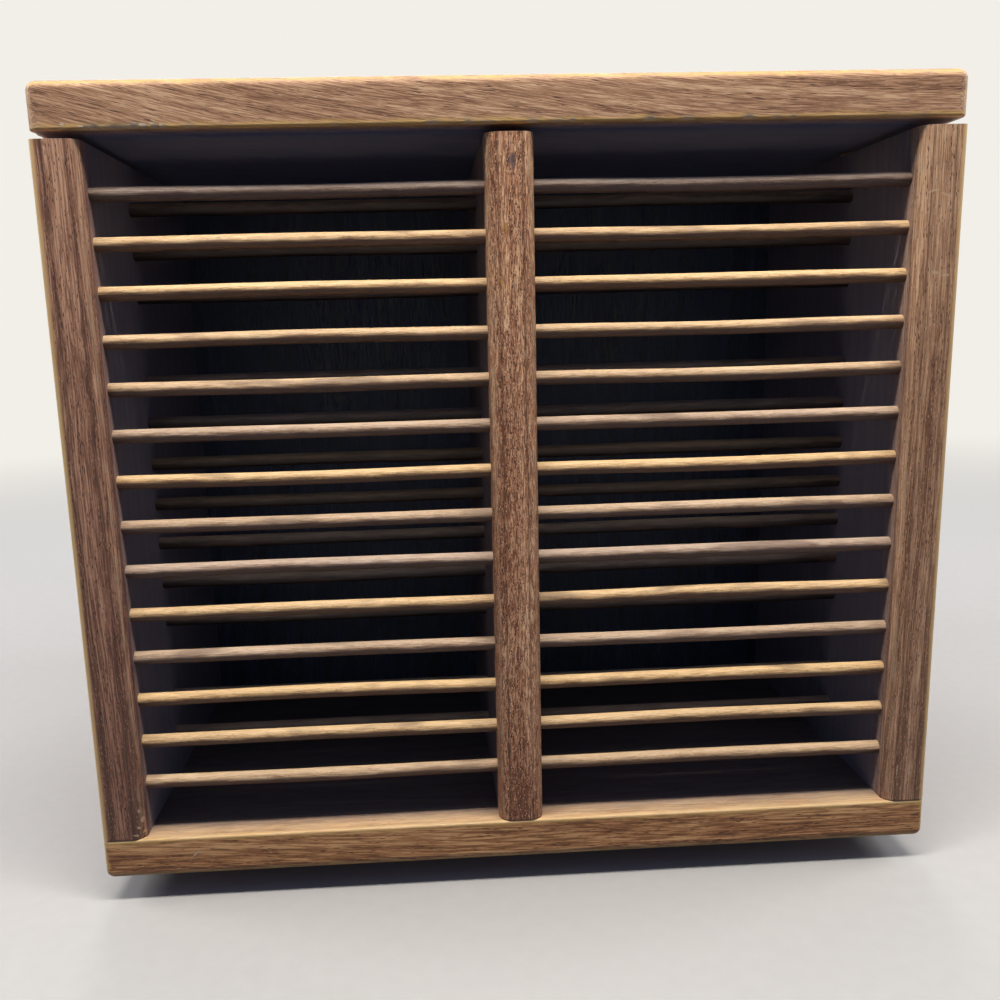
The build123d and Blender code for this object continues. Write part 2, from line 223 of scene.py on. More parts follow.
from_arris = np.hypot(inset, height - TOP_UNDER)
pull = np.clip(1 - from_arris / ARRIS_REACH, 0, 1) * dent[:, None]
from_rim = np.hypot(inset - RIM_MIDDLE, height - TOP_UPPER + RIM_MIDDLE)
press = np.clip(1 - from_rim / RIM_REACH, 0, 1) * rim[:, None]
back = inset[None, :] + pull + press
kept = np.clip(CORNER_RADIUS - back, 0, None)[..., None]
middle = outline - CORNER_RADIUS * normal
flat = middle[:, None, :] + normal[:, None, :] * kept
limit = (HALF_CASE - back)[..., None]
flat = np.clip(flat, -limit, limit)
rise = height[None, :] + 0.8 * pull - 0.7 * press
rings = np.concatenate([flat, rise[..., None]], -1).transpose(1, 0, 2)
print(len(inset), "points in the section,", len(at), "sections, deepest knock",
      round(1000 * dent.max(), 2), "mm")

# %% [markdown]
# The section ends 9 mm inside the outline, and a fan of thin triangles to one middle point closes
# the board above and below. The six blind holes for the joint pins are then drilled with a Boolean
# modifier, as a joiner drills them once the board is shaped, and the modifier is applied.

# %% Close the board and drill it
PIN_RADIUS = 4 * MM
PIN_HOLE = 8.1 * MM
PIN_DEPTH = 9.3 * MM


def closed_board(name, rings, worn):
    """The board's shell: the tube of its rings, and at each end a fan to the middle. Points that fall
    together in the corners are merged. worn goes into the attribute bare, 1 where wood is laid bare."""
    steps, around = rings.shape[:2]
    points = np.concatenate([rings.reshape(-1, 3), [(0, 0, TOP_UNDER), (0, 0, TOP_UPPER)]])
    first = np.arange(around)
    following = (first + 1) % around
    last = (steps - 1) * around
    under = np.stack([following, first, np.full(around, steps * around)], -1)
    upper = np.stack([last + first, last + following, np.full(around, steps * around + 1)], -1)
    piece = make_piece(name, points, tube_faces(steps, around).tolist() + under.tolist() + upper.tolist())
    bare = piece.data.attributes.new("bare", "FLOAT", "POINT")
    bare.data.foreach_set("value", np.append(worn.ravel(), (0, 0)))
    work = bmesh.new()
    work.from_mesh(piece.data)
    bmesh.ops.remove_doubles(work, verts=work.verts, dist=1e-6)
    work.to_mesh(piece.data)
    work.free()
    return piece


def drill(piece, places, diameter, z_low, z_high, sides=40):
    """Cuts round holes with upright cutters of one mesh, and leaves the result in piece's own mesh."""
    turn = np.linspace(0, 2 * math.pi, sides, endpoint=False)
    shells, rows = [], []
    for i, (x, y) in enumerate(places):
        circle = np.stack([x + diameter / 2 * np.cos(turn), y + diameter / 2 * np.sin(turn)], -1)
        shells += [np.column_stack([circle, np.full(sides, z)]) for z in (z_low, z_high)]
        rows += tube_faces(2, sides, 2 * sides * i).tolist()
        ring = 2 * sides * i + np.arange(sides)
        rows += [ring[::-1].tolist(), (ring + sides).tolist()]
    cutter = make_piece("cutter", np.concatenate(shells), rows, smooth=False)
    boolean = piece.modifiers.new("drill", "BOOLEAN")
    boolean.object, boolean.operation, boolean.solver = cutter, "DIFFERENCE", "EXACT"
    cut = bpy.data.meshes.new_from_object(piece.evaluated_get(bpy.context.evaluated_depsgraph_get()))
    piece.modifiers.clear()
    piece.data = cut
    bpy.data.objects.remove(cutter)


bare = np.clip(pull / BARE_FROM, 0, 1).T
top_board = closed_board("top_board_worn", rings, bare)
pins_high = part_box("joint_pins")[1]
pin_x, pin_y = pins_high.x - PIN_RADIUS, pins_high.y - PIN_RADIUS
pin_places = [(x, y) for x in (-pin_x, 0, pin_x) for y in (-pin_y, pin_y)]
drill(top_board, pin_places, PIN_HOLE, TOP_UNDER - PIN_DEPTH, TOP_UNDER + PIN_DEPTH)
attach(top_board, "rack")
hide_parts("top_board")
print("top board", len(top_board.data.polygons), "faces", len(pin_places), "holes,",
      "attributes", [a.name for a in top_board.data.attributes])

# %% [markdown]
# ## Rods
#
# On the real rack the rods are thin hardwood dowels. None is quite straight or quite round: each
# bows a little between the side panel and the divider, and its thickness wanders by a tenth of a
# millimetre. A perfect cylinder is what gives a render away, so each rod is worked out again with
# its own bow and its own faint flats, and it comes back to its true size where it sits in a hole.
# Each rod also takes one number, its tone, because no two dowels took the stain alike. The top tier
# has the greyest tone, a painted shade for the shadow of the top board over it.

# %% Shape of one rod
ROD_RADIUS = 2.4 * MM
RODS_ROUND = 20
ROD_STEPS = 150
BOW = 0.45 * MM
FLAT = 0.05 * MM
WANDER, WANDER_WAVE = 0.06 * MM, 180 * MM
END_CHAMFER = 0.5 * MM


def slow_noise(x, wave, count=4):
    """Sum of a few sines with random phases, the shortest wave / count long, between about -1 and 1."""
    phases = rng.uniform(0, 2 * math.pi, count)
    waves = np.arange(1, count + 1)
    return (np.sin(2 * math.pi * np.outer(x, waves) / wave + phases) / waves).sum(1) / 1.6


def free_span(x):
    """0 in the holes of the panels and the divider and 1 in the middle of a bay: the sine squared of
    the way across the bay."""
    across = (np.abs(x) - DIVIDER_HALF) / (INNER_WALL_X - DIVIDER_HALF)
    return np.sin(math.pi * np.clip(across, 0, 1)) ** 2


def rod_points(y, z, half_length):
    """Rings of points round the rod's axis. Ring radius is the true radius plus a slow wander plus
    an oval of two waves round that twists along the rod; the axis moves by the bow of each span."""
    x = np.linspace(-half_length, half_length, ROD_STEPS)
    x = np.concatenate([[x[0]], [x[0] + END_CHAMFER], x[1:-1], [x[-1] - END_CHAMFER], [x[-1]]])
    angle = np.linspace(0, 2 * math.pi, RODS_ROUND, endpoint=False)
    free = free_span(x)
    left, right = BOW * rng.normal(0, 0.5, (2, 2))
    side = np.where((x < 0)[:, None], left, right)
    axis_y = y + side[:, 0] * free
    axis_z = z + side[:, 1] * free
    radius = ROD_RADIUS + WANDER * slow_noise(x, WANDER_WAVE) * np.sqrt(free)
    radius[[0, -1]] -= END_CHAMFER
    twist = rng.uniform(0, math.pi) + 8 * x
    oval = FLAT * np.cos(2 * (angle[None, :] - twist[:, None])) * free[:, None]
    r = radius[:, None] + oval
    rings = np.stack([
        np.broadcast_to(x[:, None], r.shape),
        axis_y[:, None] + r * np.cos(angle),
        axis_z[:, None] + r * np.sin(angle),
    ], -1)
    return rings, np.broadcast_to(np.sin(angle), r.shape)


def rod_shell(y, z, half_length, first):
    """Points, faces and upward share of one rod. Each end closes with one face of as many corners as
    the section."""
    rings, upward = rod_points(y, z, half_length)
    steps = len(rings)
    faces = tube_faces(steps, RODS_ROUND, first)[:, ::-1].tolist()
    near = (first + np.arange(RODS_ROUND)).tolist()
    far = (first + (steps - 1) * RODS_ROUND + np.arange(RODS_ROUND)).tolist()
    return rings.reshape(-1, 3), faces + [near, far[::-1]], upward.ravel()


# %% Turn every rod
rod_pieces = []
for node in sorted(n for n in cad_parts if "_rod" in n):
    low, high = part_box(node)
    y = (low.y + high.y) / 2
    heights = [low.z + ROD_RADIUS]
    if high.z - low.z > 3 * ROD_RADIUS:
        heights.append(high.z - ROD_RADIUS)
    shells, rows, tones, upwards, first = [], [], [], [], 0
    for z in heights:
        points, faces, upward = rod_shell(y, z, high.x, first)
        shells.append(points)
        rows += faces
        tone = rng.uniform()
        # The top tier gets the greyest tone, a painted shade for the shadow of the top board.
        tones.append(np.full(len(points), 0 if node.endswith("_14") else tone))
        upwards.append(upward)
        first += len(points)
    rod = make_piece(f"{node}_turned", np.concatenate(shells), rows)
    for label, values in (("tone", tones), ("upward", upwards)):
        rod.data.attributes.new(label, "FLOAT", "POINT").data.foreach_set("value", np.concatenate(values))
    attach(rod, "rack")
    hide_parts(node)
    rod_pieces.append(rod)
print(len(rod_pieces), "rod pieces,", sum(len(r.data.polygons) for r in rod_pieces), "faces")

# %% [markdown]
# ## Colours and nodes
#
# Colours are picked as a painter names them, in the hex values of a screen, and the shader wants
# linear light, so one function turns one into the other. A second small function adds a node with
# its settings and its inputs, and hands back the output that the next node takes.

# %% Helpers for materials
def paint(code):
    """Linear colour from an sRGB hex code: each channel c is c / 12.92 when dark, and otherwise
    ((c + 0.055) / 1.055) to the power 2.4."""
    channels = [int(code[i:i + 2], 16) / 255 for i in (1, 3, 5)]
    linear = [c / 12.92 if c <= 0.04045 else ((c + 0.055) / 1.055) ** 2.4 for c in channels]
    return (*linear, 1.0)


def add(tree, kind, feeds=None, out=0, **settings):
    """One shader node. settings are its properties, feeds its inputs by name or number, each a value
    or another node's output. Returns the output that out names, or the node where out is None."""
    node = tree.nodes.new("ShaderNode" + kind)
    for key, value in settings.items():
        setattr(node, key, value)
    for key, value in (feeds or {}).items():
        if isinstance(value, bpy.types.NodeSocket):
            tree.links.new(value, node.inputs[key])
        else:
            node.inputs[key].default_value = value
    return node if out is None else node.outputs[out]


def new_material(name):
    """An empty node material and its tree."""
    material = bpy.data.materials.new(name)
    material.use_nodes = True
    material.node_tree.nodes.clear()
    return material, material.node_tree


def give(material, *pieces):
    """The only material of each piece, which is an object or the name of a node of the frame."""
    for piece in pieces:
        slots = (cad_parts[piece] if isinstance(piece, str) else piece).data.materials
        slots.clear()
        slots.append(material)
    print(f"{material.name}, pieces: {len(pieces)}")


# %% [markdown]
# ## Wood
#
# The case is an open-pored hardwood, oak by its look, stained walnut brown and oiled. Wood is a
# solid pattern, not a picture on a surface, so the shader works in space: growth rings are shells
# round the pith, pores and fibres are thin tubes along the grain, and whatever face the saw exposes
# shows them as it should, long dashes on a side and dots on an end.

# %% Space along the grain
QUARTER_TURN = {"x": 0, "z": math.pi / 2}


def grain_space(tree, run, lean, bend, seed, wander):
    """Position in millimetres with x along the grain. The grain leans by a few degrees, bends like a
    bow, and wanders: slow noise, long along the grain, moves the cross-grain coordinates to and fro."""
    turn = (0, QUARTER_TURN[run] + math.radians(lean), 0)
    place = add(tree, "TexCoord", out="Object")
    along = add(tree, "Mapping", {"Vector": place, "Rotation": turn, "Scale": (1000, 1000, 1000),
                                  "Location": (37 * seed, 11 * seed, 0)})
    if bend:
        split = add(tree, "SeparateXYZ", {0: along}, out=None).outputs
        square = add(tree, "Math", {0: split[0], 1: 2.0}, operation="POWER")
        arch = add(tree, "Math", {0: square, 1: bend / 1000, 2: split[2]}, operation="MULTIPLY_ADD")
        along = add(tree, "CombineXYZ", {0: split[0], 1: split[1], 2: arch})
    slow = add(tree, "VectorMath", {0: along, 1: (1 / 230, 1 / 75, 1 / 75)}, operation="MULTIPLY")
    drift = add(tree, "TexNoise", {"Vector": slow, "Scale": 1.0, "Detail": 2.0, "Roughness": 0.45},
                out="Color")
    centred = add(tree, "VectorMath", {0: drift, 1: (0.5, 0.5, 0.5)}, operation="SUBTRACT")
    pushed = add(tree, "VectorMath", {0: centred, 1: (0, wander, wander)}, operation="MULTIPLY")
    return along, add(tree, "VectorMath", {0: along, 1: pushed}, operation="ADD")


def stretched(tree, place, length, width, **noise):
    """Noise whose cells are length by width millimetres, long along the grain."""
    cells = (1 / length, 1 / width, 1 / width)
    scaled = add(tree, "VectorMath", {0: place, 1: cells}, operation="MULTIPLY")
    return add(tree, "TexNoise", {"Vector": scaled, "Scale": 1.0, **noise}, out="Fac")


def dashes(tree, place, length, width, reach):
    """Short tubes along the grain, scattered in cells of length by width millimetres: 1 inside reach
    of each cell's own point and 0 outside, with a soft rim."""
    cells = (1 / length, 1 / width, 1 / width)
    scaled = add(tree, "VectorMath", {0: place, 1: cells}, operation="MULTIPLY")
    away = add(tree, "TexVoronoi", {"Vector": scaled, "Scale": 1.0, "Randomness": 1.0}, out="Distance")
    rim = add(tree, "Math", {0: reach, 1: 0.35}, operation="MULTIPLY")
    return add(tree, "MapRange", {"Value": away, "From Min": reach, "From Max": rim},
               interpolation_type="SMOOTHSTEP")


def nudge(tree, level, source, amount):
    """level plus amount times how far source is from its middle, 0.5."""
    centred = add(tree, "Math", {0: source, 1: 0.5}, operation="SUBTRACT")
    return add(tree, "Math", {0: centred, 1: amount, 2: level}, operation="MULTIPLY_ADD")


# %% [markdown]
# Hands and cases rub the stain off the arrises, and knocks leave their own marks. The distance to
# the nearest edge comes from the board's own box, and a mark is a small soft ellipse at a place
# given in millimetres on the rack. Colours lie on the wood like coats, one over the other.

# %% Coats, heights and distances
def cover(tree, colour, *coats):
    """The colour under a row of coats, laid in their order. A coat is an amount and a colour."""
    for amount, coat in coats:
        colour = add(tree, "Mix", {0: amount, 6: colour, 7: coat}, out=2, data_type="RGBA")
    return colour


def share(tree, axis, start, end, most=1.0):
    """0 up to start and most from end on, with a straight line between. It goes by the distance in
    metres from the origin along an axis, 0, 1 or 2, and the origin is below the middle, on the floor."""
    value = add(tree, "SeparateXYZ", {0: add(tree, "TexCoord", out="Object")}, out=axis)
    away = add(tree, "Math", {0: value}, operation="ABSOLUTE")
    return add(tree, "MapRange", {"Value": away, "From Min": start, "From Max": end, "To Max": most})


def edge_distance(tree, lowest, highest):
    """Millimetres to the nearest edge of a board between two corners. On a face one of the three
    distances to the box's sides is nothing, and the middle one of the three is the distance wanted."""
    place = add(tree, "TexCoord", out="Object")
    up = add(tree, "VectorMath", {0: place, 1: tuple(lowest)}, operation="SUBTRACT")
    down = add(tree, "VectorMath", {0: tuple(highest), 1: place}, operation="SUBTRACT")
    near = add(tree, "VectorMath", {0: up, 1: down}, operation="MINIMUM")
    split = add(tree, "SeparateXYZ", {0: near}, out=None).outputs
    small = add(tree, "Math", {0: split[0], 1: split[1]}, operation="MINIMUM")
    large = add(tree, "Math", {0: split[0], 1: split[1]}, operation="MAXIMUM")
    capped = add(tree, "Math", {0: large, 1: split[2]}, operation="MINIMUM")
    middle = add(tree, "Math", {0: small, 1: capped}, operation="MAXIMUM")
    return add(tree, "Math", {0: middle, 1: 1000.0}, operation="MULTIPLY")


def mark(tree, place, size, turn, strength):
    """strength in the middle of an ellipsoid on the front plane at place, (x, z), with half axes size,
    turned by turn degrees in that plane, and 0 outside it. In millimetres. Noise bites into its rim."""
    centre = add(tree, "VectorMath", {0: add(tree, "TexCoord", out="Object"),
                                      1: (place[0] * MM, FRONT_Y, place[1] * MM)}, operation="SUBTRACT")
    spot = add(tree, "Mapping", {"Vector": centre, "Rotation": (0, math.radians(turn), 0)})
    spot = add(tree, "VectorMath", {0: spot, 1: [1000 / s for s in size]}, operation="MULTIPLY")
    away = add(tree, "VectorMath", {0: spot}, out="Value", operation="LENGTH")
    bite = add(tree, "TexNoise", {"Vector": centre, "Scale": 900.0, "Detail": 2.0}, out="Fac")
    away = nudge(tree, away, bite, 1.8)
    inside = add(tree, "MapRange", {"Value": away, "From Min": 1.0, "From Max": 0.55},
                 interpolation_type="SMOOTHSTEP")
    return add(tree, "Math", {0: inside, 1: strength}, operation="MULTIPLY")


# %% [markdown]
# The ground of the wood has four layers. Growth rings set where the large pores of spring lie. Fine
# fibres run along the grain, wider bands follow them, and clouds of a hand's width shade the board.
# All of them push one level up or down, and a ramp of five tones turns that level into the stain.

# %% Ground of the wood
RING_WAVES, CLOUDS = (90, 14), (110, 38)
# Painted light: the uprights are made paler from this height up to the top board.
PAINTED_LIGHT_FROM = 20 * MM


def wood_ground(tree, place, pith, year, tones, pore, depth, fibre, band, fleck, painted_top_light):
    """Colour, pores and fibres of sawn wood. A ring's number is the distance from the pith over its
    width, its whole part gives the ring a tone of its own, and its remainder the season."""
    from_pith = add(tree, "VectorMath", {0: place, 1: (0, pith[0], pith[1])}, operation="SUBTRACT")
    across = add(tree, "VectorMath", {0: from_pith, 1: (0, 1 / year, 1 / year)}, operation="MULTIPLY")
    years = add(tree, "VectorMath", {0: across}, out="Value", operation="LENGTH")
    years = nudge(tree, years, stretched(tree, place, *RING_WAVES, Detail=1.0), 1.4)
    season = add(tree, "Math", {0: years}, operation="FRACT")
    whole = add(tree, "Math", {0: years}, operation="FLOOR")
    own_tone = add(tree, "TexWhiteNoise", {"W": whole}, out="Value", noise_dimensions="1D")
    early = add(tree, "MapRange", {"Value": season, "From Min": 0.22, "From Max": 0.62, "To Min": 1.0,
                                   "To Max": 0.0}, interpolation_type="SMOOTHSTEP")

    reach = add(tree, "MapRange", {"Value": early, "To Min": 0.7 * pore[2], "To Max": pore[2]})
    pores = dashes(tree, place, pore[0], pore[1], reach)
    fibres = stretched(tree, place, fibre[0], fibre[1], Detail=3.0, Roughness=0.6)
    fibres = add(tree, "MapRange", {"Value": fibres, "From Min": 0.34, "From Max": 0.66},
                 interpolation_type="SMOOTHSTEP")
    bands = stretched(tree, place, band[0], band[1], Detail=2.0, Roughness=0.5)
    clouds = stretched(tree, place, *CLOUDS, Detail=1.0)

    level = add(tree, "Math", {0: early, 1: -0.10, 2: 0.53}, operation="MULTIPLY_ADD")
    for source, amount in ((own_tone, 0.10), (fibres, fibre[2]), (bands, band[2]), (clouds, 0.3)):
        level = nudge(tree, level, source, amount)
    # Painted light: the wood grows paler towards the top, as light from above would make it.
    if painted_top_light:
        level = nudge(tree, level, share(tree, 2, PAINTED_LIGHT_FROM, TOP_UNDER), painted_top_light)
    ramp = add(tree, "ValToRGB", {"Fac": level}, out=None)
    stops = ramp.color_ramp.elements
    stops[0].position, stops[1].position = 0.2, 0.8
    stops[0].color, stops[1].color = paint(tones[1]), paint(tones[-1])
    for i, code in enumerate(tones[2:-1]):
        stops.new(0.2 + 0.6 * (i + 1) / (len(tones) - 2)).color = paint(code)
    shade = add(tree, "Math", {0: pores, 1: depth}, operation="MULTIPLY")
    pale = add(tree, "Math", {0: dashes(tree, place, fleck[0], fleck[1], 0.3), 1: fleck[2]},
               operation="MULTIPLY")
    colour = cover(tree, ramp.outputs[0], (shade, paint(tones[0])), (pale, paint(tones[-1])))
    return colour, pores, fibres


# %% [markdown]
# A case that has been used for years isn't one colour. Its arrises are rubbed pale. An upright has a
# painted shade line where its round-over begins and a dark line of dirt where it stands on the board,
# and its outer corners get a painted golden highlight. The faces inside the bays get a dark, cool
# painted shade.

# %% Worn edges, painted shade and painted highlight
LINE_FROM_EDGE = 3.9
CORNER_BAND = 2.4 * MM
DIRT, PAINTED_EDGE_HIGHLIGHT = "#1d130e", "#e4bd80"


def worn_edges_and_painted_light(tree, colour, along, run, box, dark, worn):
    """Rubbed arrises for any board. An upright also gets a painted shade line where its round-over
    begins, a dark foot and a painted highlight on its outer corners. The edges across an upright's
    ends don't count, so its box is made longer than the board."""
    lowest, highest = box
    longer = Vector((0, 0, 0.03 if run == "z" else 0))
    edge = edge_distance(tree, lowest - longer, highest + longer)
    ragged = stretched(tree, along, 12, 3.0, Detail=3.0, Roughness=0.7)
    rubbed = nudge(tree, edge, ragged, -4.0)
    wear = add(tree, "MapRange", {"Value": rubbed, "From Min": 2.4, "From Max": 0.2, "To Min": 0.0,
                                  "To Max": 0.8}, interpolation_type="SMOOTHSTEP")
    colour = cover(tree, colour, (wear, paint(worn)))
    if run != "z":
        return colour
    # Painted shade: a dark line where the round-over turns into the flat face.
    waved = nudge(tree, edge, ragged, -1.2)
    off = add(tree, "Math", {0: waved, 1: LINE_FROM_EDGE}, operation="SUBTRACT")
    off = add(tree, "Math", {0: off}, operation="ABSOLUTE")
    line = add(tree, "MapRange", {"Value": off, "From Min": 0.6, "From Max": 0.15, "To Max": 0.5})
    foot = share(tree, 2, lowest.z + 0.55 * MM, lowest.z + 0.1 * MM, 0.9)
    colour = cover(tree, colour, (line, paint(dark)), (foot, paint(DIRT)))
    # Painted highlight: the outer corners of a side panel turn golden, as if catching light from the side.
    outer_x = max(abs(lowest.x), abs(highest.x))
    if outer_x > INNER_WALL_X:
        by_side = share(tree, 0, outer_x - CORNER_BAND, outer_x - 1.5 * MM)
        by_front = share(tree, 1, highest.y - CORNER_BAND, highest.y - 1.5 * MM, 0.8)
        corner = add(tree, "Math", {0: by_side, 1: by_front}, operation="MULTIPLY")
        colour = cover(tree, colour, (corner, paint(PAINTED_EDGE_HIGHLIGHT)))
    return colour


# %% Painted shade in the bays and a dusty sill
BAY_DEPTH = 14 * MM
DUSTY = "#e9cca4"


def bay_share(tree, across):
    """1 on the faces that look into the bays, from BAY_DEPTH behind the open edge inwards, and 0 on
    the outside: the product of tests on how high, how deep and how far across a point lies."""
    inside = share(tree, 2, FLOOR_BOARD_TOP - 0.8 * MM, FLOOR_BOARD_TOP - 0.2 * MM)
    for axis, outer, inner in ((1, HALF_CASE - 2 * MM, HALF_CASE - BAY_DEPTH),
                               (0, across + 1 * MM, across),
                               (2, TOP_UNDER + 0.8 * MM, TOP_UNDER + 0.2 * MM)):
        within = share(tree, axis, outer, inner)
        inside = add(tree, "Math", {0: inside, 1: within}, operation="MULTIPLY")
    return inside


def dusty_sill(tree, colour, along):
    """Streaks of pale dust on the upper face of the bottom board, where no case covers it."""
    dusty = share(tree, 2, FLOOR_BOARD_TOP - 1.2 * MM, FLOOR_BOARD_TOP - 0.2 * MM, 0.65)
    streaks = add(tree, "MapRange", {"Value": stretched(tree, along, 20, 3.0, Detail=3.0, Roughness=0.7),
                                     "From Min": 0.35, "From Max": 0.6, "To Min": 0.55})
    dusty = add(tree, "Math", {0: dusty, 1: streaks}, operation="MULTIPLY")
    return cover(tree, colour, (dusty, paint(DUSTY)))


# %% [markdown]
# Every rod gets a painted highlight on its upper side and painted shade on its under side. The
# mesh says which side is which, and it carries the rod's own tone.

# %% Painted light and shade on the rods
ROD_PAINTED_HIGHLIGHT = "#f6e4c6"


def rod_painted_light_and_tone(tree, colour, along, painted_shade, greyest, warmest, blotch):
    """Painted shade below and a painted highlight above, in the rod's own tone, with a few dark blotches.
    """
    upward = add(tree, "Attribute", out="Fac", attribute_name="upward")
    upward = nudge(tree, upward, stretched(tree, along, 14, 2.0, Detail=2.0), 0.9)
    # Painted shade on the under side and a painted highlight on the upper side, by the share of the
    # section that faces up.
    under = add(tree, "MapRange", {"Value": upward, "From Min": 0.35, "From Max": -0.25},
                interpolation_type="SMOOTHSTEP")
    shaded_colour = add(tree, "Mix", {0: 1.0, 6: colour, 7: paint(painted_shade)}, out=2, data_type="RGBA",
                  blend_type="MULTIPLY")
    painted_highlight = add(tree, "MapRange", {"Value": upward, "From Min": 0.1, "From Max": 1.1, "To Max": 0.6})
    colour = cover(tree, colour, (under, shaded_colour), (painted_highlight, paint(ROD_PAINTED_HIGHLIGHT)))
    own = add(tree, "Attribute", out="Fac", attribute_name="tone")
    hue = cover(tree, paint(greyest), (own, paint(warmest)))
    colour = add(tree, "Mix", {0: 1.0, 6: colour, 7: hue}, out=2, data_type="RGBA", blend_type="MULTIPLY")
    blot = stretched(tree, along, 34, 7, Detail=2.0)
    blot = add(tree, "MapRange", {"Value": blot, "From Min": 0.57, "From Max": 0.68, "To Max": 0.55})
    return cover(tree, colour, (blot, paint(blotch)))


# %% [markdown]
# Oak that is stained and oiled by hand stays open: the pores are small trenches, darker and duller
# than the wood round them, so one pattern drives colour, roughness and bump. The finish is half matt
# outside and dull in the bays.

# %% Stained, oiled oak
# Painted shade on the faces inside the bays: its colour and its share.
BAY_PAINTED_SHADE = ("#38425a", 0.8)
GOLDEN, OILED, RAW = "#dcb46c", "#6f4e38", "#d6bc98"
PORE_DEPTH = 0.12 * MM


def stained_oak(name, run, pith, year, tones, seed, box=None, lean=0.0, bend=0.0, wander=16.0, rod=None,
                pore=(6.0, 0.8, 0.31), depth=1.0, fibre=(9, 0.38, 0.42), band=(120, 4.0, 0.8),
                fleck=(3.2, 0.7, 0.4), rough=0.5, worn=GOLDEN, inside=BAY_PAINTED_SHADE, painted_top_light=0.0,
                marks=(), sill=False, lid=False):
    """tones are hex codes: the pores, then the ground from dark to light. year is a growth ring's
    width in millimetres and pith the (y, z) of the tree's middle in grain space. pore, fibre, band
    and fleck are length, width and amount, and depth is how dark a pore is. inside is the colour
    and share of the painted shade in the bays, and painted_top_light how much paler the wood is
    painted towards the top. A sill is dusty on top, and a lid is oiled there and bare where it was
    knocked."""
    material, tree = new_material(name)
    along, place = grain_space(tree, run, lean, bend, seed, wander)
    colour, pores, fibres = wood_ground(tree, place, pith, year, tones, pore, depth, fibre, band,
                                        fleck, painted_top_light)
    gloss = add(tree, "MapRange", {"Value": fibres, "To Min": rough - 0.1, "To Max": rough + 0.12})
    gloss = add(tree, "Math", {0: pores, 1: 0.2, 2: gloss}, operation="MULTIPLY_ADD")
    if rod:
        colour = rod_painted_light_and_tone(tree, colour, along, *rod)
    if box:
        colour = worn_edges_and_painted_light(tree, colour, along, run, box, tones[0], worn)
        if sill:
            colour = dusty_sill(tree, colour, along)
        # Painted shade: the faces that look into the bays take a dark, cool colour and a duller finish.
        bay = bay_share(tree, INNER_WALL_X + 0.4 * MM if run == "z" else HALF_CASE - 3 * MM)
        painted_shade = add(tree, "Math", {0: bay, 1: inside[1]}, operation="MULTIPLY")
        colour = cover(tree, colour, (painted_shade, paint(inside[0])))
        gloss = add(tree, "Math", {0: bay, 1: 0.45, 2: gloss}, operation="MULTIPLY_ADD", use_clamp=True)
    if lid:
        oiled = share(tree, 2, TOP_UPPER - 0.5 * MM, TOP_UPPER, 0.38)
        raw = add(tree, "Attribute", out="Fac", attribute_name="bare")
        colour = cover(tree, colour, (oiled, paint(OILED)), (raw, paint(RAW)))
    colour = cover(tree, colour, *[(mark(tree, *where), paint(code)) for *where, code in marks])

    half_fibres = add(tree, "Math", {0: fibres, 1: 0.5}, operation="MULTIPLY")
    height = add(tree, "Math", {0: pores, 1: -1.0, 2: half_fibres}, operation="MULTIPLY_ADD")
    bump = add(tree, "Bump", {"Strength": 0.5, "Distance": PORE_DEPTH, "Height": height}, out="Normal")
    shader = add(tree, "BsdfPrincipled", {"Base Color": colour, "Roughness": gloss, "Normal": bump,
                                          "Specular IOR Level": 0.4})
    tree.links.new(shader, tree.nodes.new("ShaderNodeOutputMaterial").inputs["Surface"])
    return material


# %% [markdown]
# The top board is brown, with lines that fall to the right and bend level. Its lower front edge has a
# few pale chips near the left corner. The bottom board is a little more orange, its lines run nearly
# level, and a nick runs up its left end.

# %% Wood of the two boards
BROWN = ("#43281b", "#78533d", "#a27a5d", "#c09675", "#e2bd98")
ORANGE = ("#381f11", "#70472b", "#a06d44", "#c38d5e", "#e8b67e")
# Painted shade on the underside of the top board in the bays: its colour and its share.
UNDER_PAINTED_SHADE = ("#6b7ca8", 0.88)
SCRATCH, PALE_CHIP = "#cdb292", "#e6d6c0"
# A mark is its place (x, z), its half axes, all in millimetres, its turn, its strength and its colour.
CHIP_MARKS = [
    ((-118.2, 267.7), (0.9, 3, 0.5), 10, 0.9, PALE_CHIP),
    ((-115.4, 267.3), (1.5, 3, 0.6), 0, 0.9, PALE_CHIP),
    ((-112.4, 267.6), (0.9, 3, 0.5), -10, 0.9, PALE_CHIP),
    ((-109.8, 267.2), (0.6, 3, 0.5), 0, 0.8, PALE_CHIP),
    ((-140.2, 267.8), (0.8, 3, 0.5), 0, 0.6, PALE_CHIP),
    ((-134.5, 267.2), (1.0, 3, 0.4), 0, 0.6, PALE_CHIP),
]
NICK_MARKS = [
    ((-119, 17.8), (2.4, 3, 0.5), 48, 0.9, SCRATCH),
    ((-117, 18.6), (0.7, 3, 0.5), 0, 0.9, SCRATCH),
]
top_wood = stained_oak("top_board_oak", "x", (30, -160), 3.6, BROWN, 1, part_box("top_board"), lean=-8,
                       bend=-0.34, wander=12, pore=(8.0, 0.62, 0.3), band=(120, 4.0, 0.65),
                       inside=UNDER_PAINTED_SHADE, lid=True, marks=CHIP_MARKS)
bottom_wood = stained_oak("bottom_board_oak", "x", (-40, 140), 3.4, ORANGE, 2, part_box("bottom_board"),
                          lean=-3, bend=-0.2, fibre=(14, 0.7, 0.5), sill=True, marks=NICK_MARKS)
give(top_wood, top_board)
give(bottom_wood, "bottom_board")

# %% [markdown]
# The side panels stand with their grain upright. The left one is redder, and the right one is the
# top board's brown. Their marks are specks in the lower left corner, and scratches on the right.

# %% Wood of the side panels
RED = ("#342019", "#5c3d31", "#855b48", "#aa7f66", "#d1a688")
HANDLED = "#b39b80"
